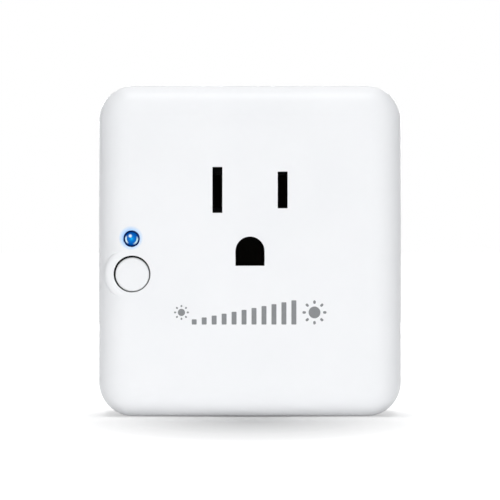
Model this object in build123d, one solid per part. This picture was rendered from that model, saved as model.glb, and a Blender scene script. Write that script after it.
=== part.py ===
"""A plug-in lamp dimmer: it plugs into a wall outlet, and a lamp plugs into its face.

X runs to the right of the front face, Z runs up, and the front face looks along -Y. The
origin is on the ground pin's axis, in the back face. A level is a height above the back
face, towards the front, so the plug's blades lie at negative levels.
"""

import os

from build123d import *

overrun = 1.0

# Housing, sized by the contact carrier and by the room round it
side_room = 16.85
end_room = 11.37
carrier_depth = 20.4
corner_radius = 6.7
face_edge_radius = 6.0
back_edge_radius = 1.2
inner_edge_chamfer = 3.0
wall = 2.0
rear_wall = 2.2
parting_above_board = 0.4
parting_chamfer = 0.3
lip_height = 1.2
lip_thickness = 0.8
lip_clearance = 0.1

# Screws that close the housing, and the posts that they run in
case_post_from_side = 7.6
case_post_from_end = 7.5
case_post_radius = 3.0
case_rib_thickness = 1.2
case_rib_clearance = 1.3
case_screw_radius = 1.45
case_screw_head_radius = 2.5
case_screw_head_height = 1.7
case_screw_length = 16.5
case_seat_level = 3.2
case_tube_radius = 3.4
screw_clearance = 0.05
head_clearance = 0.25
pilot_reserve = 1.0
cross_slot_width = 0.7
cross_length_share = 1.3
cross_depth_share = 0.6
head_chamfer_share = 0.35

# Receptacle in the face
blade_spacing = 12.7
blade_line = 11.9
slot_width = 1.93
neutral_slot_height = 8.96
line_slot_height = 7.16
ground_hole_radius = 2.83
ground_hole_height = 5.7

# Plug on the back
blade_thickness = 1.52
blade_width = 6.35
blade_length = 17.5
blade_hole_radius = 1.75
blade_hole_from_face = 11.9
blade_tip_chamfer = 1.0
blade_edge_chamfer = 0.35
blade_clearance = 0.1
ground_pin_radius = 2.375
ground_pin_length = 20.6
ground_collar_radius = 3.0
collar_clearance = 0.05
shoulder_width = 10.0
shoulder_thickness = 1.5
seat_pad_height = 1.3
seat_pad_margin = 1.2
tail_thickness = 0.8
blade_tail_width = 3.0
blade_tail_drop = 2.2
tail_projection = 0.9
ground_tail_radius = 1.0
ground_flange_radius = 3.8
tail_clearance = 0.15

# Plate that holds the blades down
retainer_width = 25.0
retainer_height = 23.0
retainer_thickness = 1.4
retainer_corner_radius = 2.0
retainer_screw_offset = 9.8
retainer_screw_drop = 10.2
retainer_post_radius = 2.3
small_screw_radius = 1.0
small_head_radius = 1.9
small_head_height = 1.1
small_screw_length = 4.4

# Power board
board_thickness = 1.6
board_clearance = 0.5
board_edge_gap = 0.9
board_end_gap = 1.05
board_notch_gap = 0.4
board_screw_from_side = 2.8
board_screw_from_post = 6.65
board_post_radius = 2.3

# Contact carrier behind the face
carrier_wall = 2.1
carrier_lip = 1.5
carrier_corner_radius = 2.0
carrier_back_thickness = 1.2
carrier_back_gap = 1.8
pocket_width = 4.6
pocket_margin = 0.5
ground_pocket_width = 7.6
ground_pocket_height = 7.2
ear_radius = 2.9
ear_reach = 2.8
ear_thickness = 2.5
ear_post_height = 5.0
ear_post_radius = 2.4
rail_clearance = 0.15
rail_thickness = 1.0
rail_height = 3.0
back_screw_offset = 7.4
back_screw_drop = 4.6
back_screw_height = 13.5

# Spring contacts
contact_thickness = 0.5
contact_width = 6.4
contact_base_half = 1.9
contact_throat_half = 0.65
contact_mouth_half = 1.4
contact_straight = 6.0
contact_flare = 4.0
contact_mouth_gap = 1.4
contact_tail_width = 2.4
contact_tail_rise = 2.0
ground_contact_width = 6.4
ground_base_half = 3.1
ground_throat_half = 2.25
ground_mouth_half = 2.8
ground_contact_tail_width = 1.3
contact_pocket_gap = 0.05

# Button
button_from_side = 6.65
button_z = -4.47
button_radius = 3.34
button_hole_radius = 3.56
button_recess = 0.2
button_sag = 0.08
button_sideways = 0.04
button_edge_radius = 0.35
button_wall = 1.0
button_stem_radius = 1.2
button_travel = 0.35
flange_radius = 4.0
flange_thickness = 1.2
flange_clearance = 0.25
shoulder_gap = 0.05
press_gap = 0.05
button_neck = 3.5
land_radius = 5.5
land_edge_radius = 1.3
collar_length = 6.0

# Status light, a round-topped 3 mm part
led_above_button = 6.87
led_left_of_button = 0.1
led_radius = 1.5
led_hole_radius = 1.62
led_recess = 0.1
led_length = 5.3
led_flange_radius = 1.9
led_flange_thickness = 1.0
led_pocket_clearance = 0.2
led_sleeve_radius = 2.6
led_spacer_length = 4.7
led_spacer_radius = 2.0
led_lead_spacing = 2.54
led_lead_radius = 0.25
lead_clearance = 0.1

# Control board, behind the button and the light
control_board_thickness = 1.2
control_board_gap = 0.5
control_board_end_gap = 0.35
control_board_carrier_gap = 2.15
control_board_top = 7.6
control_post_from_edge = 2.7
control_post_from_top = 2.8
control_post_from_bottom = 2.9
control_post_radius = 2.2
switch_size = 6.0
switch_height = 3.5
switch_total_height = 5.0
switch_corner_radius = 0.5
plunger_radius = 1.75
plunger_base_radius = 2.2
plunger_base_thickness = 0.65
plunger_clearance = 0.05
switch_lid = 0.5
plunger_end_gap = 0.3
switch_pin_radius = 0.35
switch_pin_inset = 0.6
shield_height = 10.5
shield_post_gap = 0.6
shield_depth = 2.2
shield_wall = 0.3
shield_from_edge = 0.7
shield_from_bottom = 0.8
radio_chip_share = 0.625
radio_chip_thickness = 0.9
controller_size = 7.0
controller_thickness = 1.0
controller_above_bottom = 8.5
chip_edge_chamfer = 0.15

# Pin header that joins the two boards
header_pitch = 2.54
header_count = 4
header_height = 2.5
header_pin = 0.64
header_fit = 0.05
header_from_edge = 1.4
header_below_light = 3.2
header_tip = 0.9

# Lamp-side parts on the power board
fuse_radius = 2.2
fuse_length = 9.0
fuse_cap_wall = 0.3
fuse_cap_length = 2.6
fuse_from_side = 13.3
fuse_from_end = 3.9
fuse_lift = 0.15
fuse_fit = 0.02
varistor_radius = 5.0
varistor_thickness = 4.4
varistor_edge_chamfer = 0.9
varistor_lift = 0.8
varistor_lead_spacing = 7.5
varistor_from_side = 6.6
varistor_z = 12.6
film_width = 8.0
film_length = 18.0
film_height = 13.0
film_edge_chamfer = 0.6
film_lead_spacing = 15.0
film_from_side = 6.8
film_z = 3.0
can_radius_share = 0.24
can_headroom = 2.1
can_groove_depth = 0.3
can_groove_width = 0.7
can_groove_height = 1.5
can_edge_chamfer = 0.4
can_lead_spacing = 3.5
can_edge_gap = 0.4
can_z = -3.5
lead_radius = 0.35
lead_tip = 1.0
wire_sides = 8
small_screw_sides = 12

# Ring choke
choke_radius = 6.3
choke_bore = 3.4
choke_height = 5.5
choke_wire = 0.8
choke_fit = 0.05
choke_gap_width = 3.4
choke_from_side = 15.3
choke_from_end = 11.6

# Supply transformer
transformer_width = 12.0
transformer_core_depth = 4.6
transformer_height_share = 0.68
transformer_leg = 1.8
transformer_centre_leg = 2.4
transformer_coil_depth = 11.0
transformer_fit = 0.1
transformer_pin_spacing = 7.5
transformer_from_side = 12.4
transformer_from_end = 12.7

# Bridge rectifier
bridge_width = 8.5
bridge_depth = 6.5
bridge_height = 3.2
bridge_chamfer = 0.8
bridge_pin_spacing_x = 5.1
bridge_pin_spacing_z = 4.4
bridge_x = -4.0
bridge_from_end = 3.7

# Triac on its heatsink
triac_width = 10.0
triac_body_height = 9.0
triac_body_depth = 3.1
triac_tab_height = 15.5
triac_tab_thickness = 1.3
triac_tab_hole_radius = 1.8
triac_hole_from_top = 2.7
triac_standoff = 2.5
triac_lead_width = 0.8
triac_lead_thickness = 0.5
triac_lead_pitch = 2.54
triac_screw_radius = 1.45
triac_screw_head_radius = 2.6
triac_screw_head_height = 1.6
triac_body_chamfer = 0.5
heatsink_width = 14.0
heatsink_base = 1.5
heatsink_fin = 1.0
heatsink_fin_reach = 1.7
heatsink_fins = 5
heatsink_height = 18.4
heatsink_from_side = 15.0
heatsink_from_end = 2.6

# Places worked out from the sizes above
half_blade_spacing = blade_spacing / 2
carrier_half_width = half_blade_spacing + pocket_width / 2 + carrier_wall
carrier_top = blade_line + neutral_slot_height / 2 + pocket_margin + carrier_wall
carrier_bottom = -ground_pocket_height / 2 - carrier_wall - ear_reach / 2
half_width = carrier_half_width + side_room + wall
half_height = carrier_top + end_room + wall
body_width = 2 * half_width
body_height = 2 * half_height
rear_inset = wall + lip_clearance + lip_thickness
pad_level = rear_wall + seat_pad_height
shoulder_level = pad_level + shoulder_thickness
retainer_level = shoulder_level + retainer_thickness
board_level = retainer_level + small_head_height + board_clearance
board_front = board_level + board_thickness
rear_depth = board_front + parting_above_board
carrier_back_level = board_front + carrier_back_gap
carrier_level = carrier_back_level + carrier_back_thickness
inside_face = carrier_level + carrier_depth
body_depth = inside_face + wall
board_half_width = half_width - rear_inset - board_edge_gap
board_half_height = half_height - rear_inset - board_end_gap
case_post_x = half_width - case_post_from_side
case_post_z = half_height - case_post_from_end
board_screw_x = board_half_width - board_screw_from_side
board_screw_z = case_post_z - board_screw_from_post
solder_level = board_front + tail_projection
blade_tail_z = blade_line - blade_tail_drop
contact_tail_z = blade_line + contact_tail_rise
ground_contact_tail_z = (ground_contact_tail_width - ground_contact_width) / 2
contact_reach = carrier_depth - carrier_lip - contact_mouth_gap
ear_level = inside_face - ear_post_height
ear_places = ((0, carrier_top + ear_reach), (0, carrier_bottom - ear_reach))
retainer_screw_places = (
    (-retainer_screw_offset, blade_line - retainer_screw_drop),
    (retainer_screw_offset, blade_line - retainer_screw_drop),
)
back_screw_places = (
    (0, back_screw_height),
    (-back_screw_offset, -back_screw_drop),
    (back_screw_offset, -back_screw_drop),
)

button_x = -(half_width - button_from_side)
cap_x = button_x + button_sideways
cap_z = button_z - button_sag
button_front = body_depth - button_recess
button_shoulder = button_front - button_neck
flange_front = button_shoulder - shoulder_gap
flange_back = flange_front - flange_thickness
collar_level = body_depth - collar_length
led_x = button_x - led_left_of_button
led_z = button_z + led_above_button
led_tip = body_depth - led_recess
led_base = led_tip - led_length
led_lead_places = ((led_x - led_lead_spacing / 2, led_z), (led_x + led_lead_spacing / 2, led_z))
control_front = led_base - led_spacer_length
control_back = control_front - control_board_thickness
control_left = -(half_width - wall - control_board_gap)
control_right = -(carrier_half_width + control_board_carrier_gap)
control_x = (control_left + control_right) / 2
control_top = led_z + control_board_top
control_bottom = -(case_post_z - case_post_radius - control_board_end_gap)
control_z = (control_top + control_bottom) / 2
control_post_x = control_right - control_post_from_edge
control_post_places = (
    (control_post_x, control_top - control_post_from_top),
    (control_post_x, control_bottom + control_post_from_bottom),
)
plunger_front = control_front + switch_total_height
switch_top = control_front + switch_height
plunger_base_top = switch_top - switch_lid - shoulder_gap
plunger_bottom = plunger_base_top - plunger_base_thickness
switch_floor = plunger_bottom - button_travel - plunger_end_gap
shield_left = control_left + shield_from_edge
shield_right = control_post_x - control_post_radius - shield_post_gap
shield_width = shield_right - shield_left
shield_x = (shield_left + shield_right) / 2
shield_z = control_bottom + shield_from_bottom + shield_height / 2
controller_z = control_bottom + controller_above_bottom
header_x = control_right - header_from_edge
header_z = led_z - header_below_light

fuse_x = -board_half_width + fuse_from_side
fuse_z = board_half_height - fuse_from_end
fuse_level = board_front + fuse_lift + fuse_radius + fuse_cap_wall
varistor_x = -board_half_width + varistor_from_side
varistor_level = board_front + varistor_lift + varistor_radius
film_x = board_half_width - film_from_side
can_radius = side_room * can_radius_share
can_height = control_back - board_front - can_headroom
can_x = -board_half_width + can_edge_gap + can_radius
choke_x = board_half_width - choke_from_side
choke_z = -board_half_height + choke_from_end
transformer_core_height = (control_back - board_front) * transformer_height_share
transformer_x = -board_half_width + transformer_from_side
transformer_z = -board_half_height + transformer_from_end
bridge_z = -board_half_height + bridge_from_end
heatsink_x = board_half_width - heatsink_from_side
heatsink_z = board_half_height - heatsink_from_end
triac_level = board_front + triac_standoff
triac_hole_level = triac_level + triac_tab_height - triac_hole_from_top
triac_body_z = heatsink_z - triac_tab_thickness - triac_body_depth / 2


def corners(x, z):
    """The four places that mirror one another across both middle lines."""
    return [(side * x, end * z) for side in (-1, 1) for end in (-1, 1)]


def prism(outline, start, end):
    """An outline, drawn as seen from the front, carried from one level to another."""
    low, high = sorted((start, end))
    return extrude(Plane.XZ.offset(low) * outline, amount=high - low)


def block(x, z, width, height, start, end):
    """An upright bar with a rectangular section, between two levels."""
    return prism(Pos(x, z) * Rectangle(width, height), start, end)


def rod(x, z, radius, start, end):
    """A round bar between two levels."""
    return prism(Pos(x, z) * Circle(radius), start, end)


def wire(x, z, radius, start, end):
    """A thin wire or its hole, drawn with few sides."""
    return prism(Pos(x, z) * RegularPolygon(radius, wire_sides), start, end)


def tube_along_x(x, z, level, radius, length):
    """A round bar lying along X."""
    section = Plane.YZ.offset(x) * Pos(-level, z) * Circle(radius)
    return extrude(section, amount=length / 2, both=True)


def along_z(x, level, radius, low, high):
    """A round bar lying along Z between two heights."""
    return extrude(Plane(origin=(x, -level, low), z_dir=(0, 0, 1)) * Circle(radius), amount=high - low)


def group(parts):
    """Like parts, each left a solid of its own."""
    return Compound([part.solid() for part in parts])


def small_screw(x, z, seat, away):
    """The small screw used inside, drawn with few sides, its head on the side that away names."""
    head = RegularPolygon(small_head_radius, small_screw_sides)
    shank = RegularPolygon(small_screw_radius, small_screw_sides)
    screw = prism(Pos(x, z) * head, seat, seat + away * small_head_height)
    return screw + prism(Pos(x, z) * shank, seat, seat - away * small_screw_length)


def shell_outline(inset):
    """The housing's outline, drawn in from its outside."""
    return RectangleRounded(body_width - 2 * inset, body_height - 2 * inset, corner_radius - inset)


def front_shell():
    """The open shell of the front cover: its face edge is rounded outside and chamfered inside."""
    outside = prism(shell_outline(0), rear_depth, body_depth)
    outside = fillet(outside.faces().sort_by(Axis.Y)[0].edges(), face_edge_radius)
    hollow = prism(shell_outline(wall), rear_depth - overrun, inside_face)
    return outside - chamfer(hollow.faces().sort_by(Axis.Y)[0].edges(), inner_edge_chamfer)


def ground_outline(radius, height):
    """A hole with a round top and a flat bottom."""
    foot = radius - height
    sides = Polyline((-radius, 0), (-radius, foot), (radius, foot), (radius, 0))
    return make_face(sides + ThreePointArc((radius, 0), (0, radius), (-radius, 0)))


def receptacle_slots(start, end):
    """The three openings of the receptacle, as one cut between two levels."""
    slots = block(-half_blade_spacing, blade_line, slot_width, neutral_slot_height, start, end)
    slots += block(half_blade_spacing, blade_line, slot_width, line_slot_height, start, end)
    return slots + prism(ground_outline(ground_hole_radius, ground_hole_height), start, end)


def case_posts():
    """Four posts inside the front cover for the case screws, each ribbed to two walls."""
    rib_start = rear_depth + lip_height + case_rib_clearance
    rib_end = body_depth - face_edge_radius
    side_reach = half_width - wall / 2 - case_post_x
    end_reach = half_height - wall / 2 - case_post_z
    posts = []
    for x, z in corners(case_post_x, case_post_z):
        side, end = x / case_post_x, z / case_post_z
        posts.append(rod(x, z, case_post_radius, rear_depth, inside_face))
        rib_x = x + side * side_reach / 2
        posts.append(block(rib_x, z, side_reach, case_rib_thickness, rib_start, rib_end))
        rib_z = z + end * end_reach / 2
        posts.append(block(x, rib_z, case_rib_thickness, end_reach, rib_start, rib_end))
    return posts


def button_collar():
    """The round land level with the face, and below it the guide that the button runs in."""
    collar = rod(button_x, button_z, land_radius, collar_level, body_depth)
    rim = collar.edges().filter_by(GeomType.CIRCLE).sort_by(Axis.Y)[0]
    return fillet(rim, land_edge_radius)


def inner_posts():
    """The light's sleeve, the posts for the control board and the carrier, and the carrier's rails."""
    posts = [rod(led_x, led_z, led_sleeve_radius, led_base + led_flange_thickness, inside_face)]
    for x, z in control_post_places:
        posts.append(rod(x, z, control_post_radius, control_front, inside_face))
    for x, z in ear_places:
        posts.append(rod(x, z, ear_post_radius, ear_level, inside_face))
    rail_x = carrier_half_width + rail_clearance + rail_thickness / 2
    rail_z = (carrier_top + carrier_bottom) / 2
    rail_length = carrier_top - carrier_bottom
    start = inside_face - rail_height
    for side in (-1, 1):
        posts.append(block(side * rail_x, rail_z, rail_thickness, rail_length, start, inside_face))
    return posts


def front_pilots():
    """The holes in the front cover's posts in which the screws cut their threads."""
    end = case_seat_level + case_screw_length + pilot_reserve
    bore = case_screw_radius + screw_clearance
    holes = [rod(x, z, bore, rear_depth - overrun, end) for x, z in corners(case_post_x, case_post_z)]
    pilot = small_screw_radius + screw_clearance
    depth = small_screw_length + pilot_reserve
    for x, z in control_post_places:
        holes.append(rod(x, z, pilot, control_front - overrun, control_back + depth))
    for x, z in ear_places:
        holes.append(rod(x, z, pilot, ear_level - overrun, ear_level - ear_thickness + depth))
    return holes


def front_cover():
    """The moulded shell that carries the face, the button's guide and every inner post."""
    cover = front_shell()
    cover += case_posts()
    cover += inner_posts()
    cover += button_collar()
    outside = body_depth + overrun
    cover -= receptacle_slots(inside_face - overrun, outside)
    cover -= rod(button_x, button_z, button_hole_radius, collar_level - overrun, outside)
    chamber = flange_radius + flange_clearance
    cover -= rod(button_x, button_z, chamber, collar_level - overrun, button_shoulder)
    cover -= rod(led_x, led_z, led_hole_radius, control_front, outside)
    pocket_top = led_base + led_flange_thickness + led_pocket_clearance
    pocket = led_flange_radius + led_pocket_clearance
    cover -= rod(led_x, led_z, pocket, control_front, pocket_top)
    return cover - front_pilots()


def rear_posts():
    """The rear cover's screw tubes and posts, and the pads on which the blades and the pin sit."""
    posts = [rod(x, z, case_tube_radius, 0, rear_depth) for x, z in corners(case_post_x, case_post_z)]
    for x, z in corners(board_screw_x, board_screw_z):
        posts.append(rod(x, z, board_post_radius, rear_wall, board_level))
    pad_width = blade_thickness + 2 * seat_pad_margin
    for side in (-1, 1):
        x = side * half_blade_spacing
        posts.append(block(x, blade_line, pad_width, shoulder_width, rear_wall, pad_level))
    for x, z in retainer_screw_places:
        posts.append(rod(x, z, retainer_post_radius, rear_wall, shoulder_level))
    posts.append(rod(0, 0, ground_flange_radius + seat_pad_margin, rear_wall, pad_level))
    return posts


def rear_holes():
    """The rear cover's openings for the blades, the pin and the case screws, and its pilot holes."""
    holes = [rod(0, 0, ground_collar_radius + collar_clearance, -overrun, pad_level + overrun)]
    slot = blade_thickness + 2 * blade_clearance
    slot_height = blade_width + 2 * blade_clearance
    for side in (-1, 1):
        x = side * half_blade_spacing
        holes.append(block(x, blade_line, slot, slot_height, -overrun, pad_level + overrun))
    for x, z in corners(case_post_x, case_post_z):
        holes.append(rod(x, z, case_screw_head_radius + head_clearance, -overrun, case_seat_level))
        holes.append(rod(x, z, case_screw_radius + screw_clearance, -overrun, rear_depth + overrun))
    pilot = small_screw_radius + screw_clearance
    for x, z in corners(board_screw_x, board_screw_z):
        holes.append(rod(x, z, pilot, board_front - small_screw_length, board_level + overrun))
    for x, z in retainer_screw_places:
        holes.append(rod(x, z, pilot, retainer_level - small_screw_length, shoulder_level + overrun))
    return holes


def rear_cover():
    """The shallow tray that closes the back and holds the plug's blades and the power board."""
    tray = prism(shell_outline(0), 0, rear_depth)
    tray = fillet(tray.faces().sort_by(Axis.Y)[-1].edges(), back_edge_radius)
    tray = chamfer(tray.faces().sort_by(Axis.Y)[0].edges(), parting_chamfer)
    tray += prism(shell_outline(wall + lip_clearance), rear_wall, rear_depth + lip_height)
    tray -= prism(shell_outline(rear_inset), rear_wall, rear_depth + lip_height + overrun)
    return tray + rear_posts() - rear_holes()


def case_screw(x, z):
    """A long pan-head screw with a cross recess, its head towards the back."""
    top = case_seat_level - case_screw_head_height
    head = rod(x, z, case_screw_head_radius, top, case_seat_level)
    rim = head.edges().filter_by(GeomType.CIRCLE).sort_by(Axis.Y)[-1]
    head = chamfer(rim, case_screw_head_height * head_chamfer_share)
    floor = top + case_screw_head_height * cross_depth_share
    cross = case_screw_head_radius * cross_length_share
    head -= block(x, z, cross, cross_slot_width, top - overrun, floor)
    head -= block(x, z, cross_slot_width, cross, top - overrun, floor)
    return head + rod(x, z, case_screw_radius, case_seat_level, case_seat_level + case_screw_length)


def case_screws():
    """Four long screws, heads sunk in the back, that pull the two covers together."""
    return group(case_screw(x, z) for x, z in corners(case_post_x, case_post_z))


def plug_blade(side):
    """A flat blade with a holed, chamfered tip, a shoulder inside the wall and a solder tail."""
    x = side * half_blade_spacing
    blade = block(x, blade_line, blade_thickness, blade_width, -blade_length, pad_level)
    tip = blade.faces().sort_by(Axis.Y)[-1]
    blade = chamfer(tip.edges().filter_by(Axis.X), blade_tip_chamfer)
    blade = chamfer(blade.faces().sort_by(Axis.Y)[-1].edges().filter_by(Axis.Z), blade_edge_chamfer)
    bore = Plane.YZ.offset(x) * Pos(blade_hole_from_face, blade_line) * Circle(blade_hole_radius)
    blade -= extrude(bore, amount=blade_thickness, both=True)
    blade += block(x, blade_line, blade_thickness, shoulder_width, pad_level, shoulder_level)
    return blade + block(x, blade_tail_z, tail_thickness, blade_tail_width, shoulder_level, solder_level)


def ground_pin():
    """A turned pin with a round tip, a collar flush in the back wall and a flange inside it."""
    straight = ground_pin_length - ground_pin_radius
    lathe = [
        (0, -solder_level),
        (ground_tail_radius, -solder_level),
        (ground_tail_radius, -shoulder_level),
        (ground_flange_radius, -shoulder_level),
        (ground_flange_radius, -pad_level),
        (ground_collar_radius, -pad_level),
        (ground_collar_radius, 0),
        (ground_pin_radius, 0),
        (ground_pin_radius, straight),
    ]
    tip = RadiusArc((ground_pin_radius, straight), (0, ground_pin_length), -ground_pin_radius)
    axis_line = Line((0, ground_pin_length), (0, -solder_level))
    return revolve(make_face(Polyline(*lathe) + tip + axis_line), Axis.Y)


def blade_retainer():
    """The insulating plate that clamps the shoulders of the blades and the pin's flange."""
    middle = blade_line / 2
    outline = RectangleRounded(retainer_width, retainer_height, retainer_corner_radius)
    plate = prism(Pos(0, middle) * outline, shoulder_level, retainer_level)
    low, high = shoulder_level - overrun, retainer_level + overrun
    clear = 2 * tail_clearance
    for side in (-1, 1):
        x = side * half_blade_spacing
        plate -= block(x, blade_tail_z, tail_thickness + clear, blade_tail_width + clear, low, high)
    for x, z in retainer_screw_places:
        plate -= rod(x, z, small_screw_radius + screw_clearance, low, high)
    return plate - rod(0, 0, ground_tail_radius + tail_clearance, low, high)


def retainer_screws():
    """Two screws that hold the blade retainer."""
    return group(small_screw(x, z, retainer_level, 1) for x, z in retainer_screw_places)


def contact_carrier():
    """The black insulating block behind the face, with a pocket for each spring contact."""
    middle = (carrier_top + carrier_bottom) / 2
    outline = RectangleRounded(2 * carrier_half_width, carrier_top - carrier_bottom, carrier_corner_radius)
    carrier = prism(Pos(0, middle) * outline, carrier_level, inside_face)
    ear_back = ear_level - ear_thickness
    for (x, z), end in zip(ear_places, (1, -1)):
        carrier += rod(x, z, ear_radius, ear_back, ear_level)
        carrier += block(x, z - end * ear_reach, 2 * ear_radius, 2 * ear_reach, ear_back, ear_level)
    lip = inside_face - carrier_lip
    start = carrier_level - overrun
    for side, slot in ((-1, neutral_slot_height), (1, line_slot_height)):
        height = slot + 2 * pocket_margin
        carrier -= block(side * half_blade_spacing, blade_line, pocket_width, height, start, lip)
    carrier -= block(0, 0, ground_pocket_width, ground_pocket_height, start, lip)
    carrier -= receptacle_slots(lip - overrun, inside_face + overrun)
    hole = small_screw_radius + screw_clearance
    for x, z in ear_places:
        carrier -= rod(x, z, hole, ear_back - overrun, ear_level + overrun)
    screw_end = carrier_back_level + small_screw_length + pilot_reserve
    for x, z in back_screw_places:
        carrier -= rod(x, z, hole, start, screw_end)
    return carrier


def carrier_screws():
    """Two screws through the carrier's ears into the front cover."""
    return group(small_screw(x, z, ear_level - ear_thickness, -1) for x, z in ear_places)


def carrier_back():
    """The plate that closes the carrier behind the contacts, slotted for their tails."""
    middle = (carrier_top + carrier_bottom) / 2
    outline = RectangleRounded(2 * carrier_half_width, carrier_top - carrier_bottom, carrier_corner_radius)
    plate = prism(Pos(0, middle) * outline, carrier_back_level, carrier_level)
    low, high = carrier_back_level - overrun, carrier_level + overrun
    clear = 2 * tail_clearance
    slot = tail_thickness + clear
    for side in (-1, 1):
        x = side * half_blade_spacing
        plate -= block(x, contact_tail_z, slot, contact_tail_width + clear, low, high)
    plate -= block(0, ground_contact_tail_z, slot, ground_contact_tail_width + clear, low, high)
    for x, z in back_screw_places:
        plate -= rod(x, z, small_screw_radius + screw_clearance, low, high)
    return plate


def carrier_back_screws():
    """Three screws that hold the carrier's back plate."""
    return group(small_screw(x, z, carrier_back_level, -1) for x, z in back_screw_places)


def spring_contact(x, z, width, base_half, throat_half, mouth_half):
    """Two spring leaves folded up from one base, closing to a throat and flaring at the mouth."""
    base = carrier_level
    bend = base + contact_straight
    mouth = base + contact_reach
    throat = mouth - contact_flare
    floor = base + contact_thickness
    thick = contact_thickness
    half = [
        (base_half, base),
        (base_half, bend),
        (throat_half + thick, throat),
        (mouth_half + thick, mouth),
        (mouth_half, mouth),
        (throat_half, throat),
        (base_half - thick, bend),
        (base_half - thick, floor),
    ]
    mirrored = [(-across, level) for across, level in reversed(half)]
    strip = make_face(Polyline(*half, *mirrored, close=True))
    section = Plane(origin=(x, 0, z), x_dir=(1, 0, 0), z_dir=(0, 0, -1))
    return extrude(section * strip, amount=width / 2, both=True)


def blade_contact(side, slot_height):
    """The contact that grips one flat blade, with its solder tail."""
    x = side * half_blade_spacing
    width = min(contact_width, slot_height + 2 * (pocket_margin - contact_pocket_gap))
    contact = spring_contact(
        x, blade_line, width, contact_base_half, contact_throat_half, contact_mouth_half
    )
    start = board_level - lead_tip
    end = carrier_level + contact_thickness
    return contact + block(x, contact_tail_z, tail_thickness, contact_tail_width, start, end)


def ground_contact():
    """The wider contact that grips the round ground pin, with its solder tail."""
    contact = spring_contact(
        0, 0, ground_contact_width, ground_base_half, ground_throat_half, ground_mouth_half
    )
    start = board_level - lead_tip
    end = carrier_level + contact_thickness
    width = ground_contact_tail_width
    return contact + block(0, ground_contact_tail_z, tail_thickness, width, start, end)


def button_cap():
    """A hollow cap that rests low in its guide, stopped by a flange, with a stem to the switch."""
    cap = rod(cap_x, cap_z, button_radius, flange_back, button_front)
    cap = fillet(cap.edges().filter_by(GeomType.CIRCLE).sort_by(Axis.Y)[0], button_edge_radius)
    cap += rod(cap_x, cap_z, flange_radius, flange_back, flange_front)
    hollow_top = button_front - button_wall
    cap -= rod(cap_x, cap_z, button_radius - button_wall, flange_back - overrun, hollow_top)
    return cap + rod(cap_x, cap_z, button_stem_radius, plunger_front + press_gap, hollow_top)


def status_led():
    """The clear blue light: a round dome on a straight body, with a flange at its base."""
    dome_level = led_tip - led_radius
    flange_top = led_base + led_flange_thickness
    lathe = [
        (0, led_base),
        (led_flange_radius, led_base),
        (led_flange_radius, flange_top),
        (led_radius, flange_top),
        (led_radius, dome_level),
    ]
    dome = RadiusArc((led_radius, dome_level), (0, led_tip), -led_radius)
    profile = make_face(Polyline(*lathe) + dome + Line((0, led_tip), (0, led_base)))
    section = Plane(origin=(led_x, 0, led_z), x_dir=(1, 0, 0), z_dir=(0, 0, -1))
    return revolve(section * profile, Axis((led_x, 0, led_z), (0, 1, 0)))


def led_leads():
    """The light's two wire leads, down through its spacer and the control board."""
    return group(wire(x, z, led_lead_radius, control_back - lead_tip, led_base) for x, z in led_lead_places)


def led_spacer():
    """The round spacer that holds the light off the control board."""
    spacer = rod(led_x, led_z, led_spacer_radius, control_front, led_base)
    for x, z in led_lead_places:
        spacer -= wire(x, z, led_lead_radius + lead_clearance, control_front - overrun, led_base + overrun)
    return spacer


def switch_pin_places():
    """The four places of the switch's pins under its body."""
    reach = switch_size / 2 - switch_pin_inset
    return [(button_x + x, button_z + z) for x, z in corners(reach, reach)]


def control_board():
    """The board behind the button, with holes for its screws, leads and pins."""
    width, height = control_right - control_left, control_top - control_bottom
    board = block(control_x, control_z, width, height, control_back, control_front)
    low, high = control_back - overrun, control_front + overrun
    for x, z in control_post_places:
        board -= rod(x, z, small_screw_radius + screw_clearance, low, high)
    for x, z in led_lead_places:
        board -= wire(x, z, led_lead_radius + lead_clearance, low, high)
    for x, z in switch_pin_places():
        board -= wire(x, z, switch_pin_radius + lead_clearance, low, high)
    hole = header_pin + 2 * lead_clearance
    for z in header_places():
        board -= block(header_x, z, hole, hole, low, high)
    return board


def control_board_screws():
    """Two screws that hold the control board to the front cover's posts."""
    return group(small_screw(x, z, control_back, -1) for x, z in control_post_places)


def switch_body():
    """The square body of the push switch, bored for its plunger, with a pin at each corner."""
    square = Pos(button_x, button_z) * RectangleRounded(switch_size, switch_size, switch_corner_radius)
    body = prism(square, control_front, switch_top)
    lid = switch_top - switch_lid
    body -= rod(button_x, button_z, plunger_base_radius + plunger_clearance, switch_floor, lid)
    body -= rod(button_x, button_z, plunger_radius + plunger_clearance, lid - overrun, switch_top + overrun)
    for x, z in switch_pin_places():
        body += wire(x, z, switch_pin_radius, control_back - lead_tip, control_front)
    return body


def switch_plunger():
    """The plunger under the button, held in the switch by its wider base."""
    plunger = rod(button_x, button_z, plunger_base_radius, plunger_bottom, plunger_base_top)
    return plunger + rod(button_x, button_z, plunger_radius, plunger_base_top, plunger_front)


def radio_shield():
    """A thin folded metal can over the radio chip, open to the board."""
    top = control_front + shield_depth
    can = block(shield_x, shield_z, shield_width, shield_height, control_front, top)
    upright = can.edges().filter_by(Axis.Y)
    can = fillet(upright, shield_wall)
    inner_width = shield_width - 2 * shield_wall
    inner_height = shield_height - 2 * shield_wall
    inner_top = top - shield_wall
    return can - block(shield_x, shield_z, inner_width, inner_height, control_front - overrun, inner_top)


def chip(x, z, size, start, end):
    """A flat square chip with its outer edge chamfered."""
    body = block(x, z, size, size, start, end)
    outer = body.faces().sort_by(Axis.Y)[0 if end > start else -1]
    return chamfer(outer.edges(), chip_edge_chamfer)


def radio_chip():
    """The radio chip under its shield."""
    size = shield_width * radio_chip_share
    return chip(shield_x, shield_z, size, control_front, control_front + radio_chip_thickness)


def controller_chip():
    """The controller chip on the back of the control board."""
    return chip(control_x, controller_z, controller_size, control_back, control_back - controller_thickness)


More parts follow.
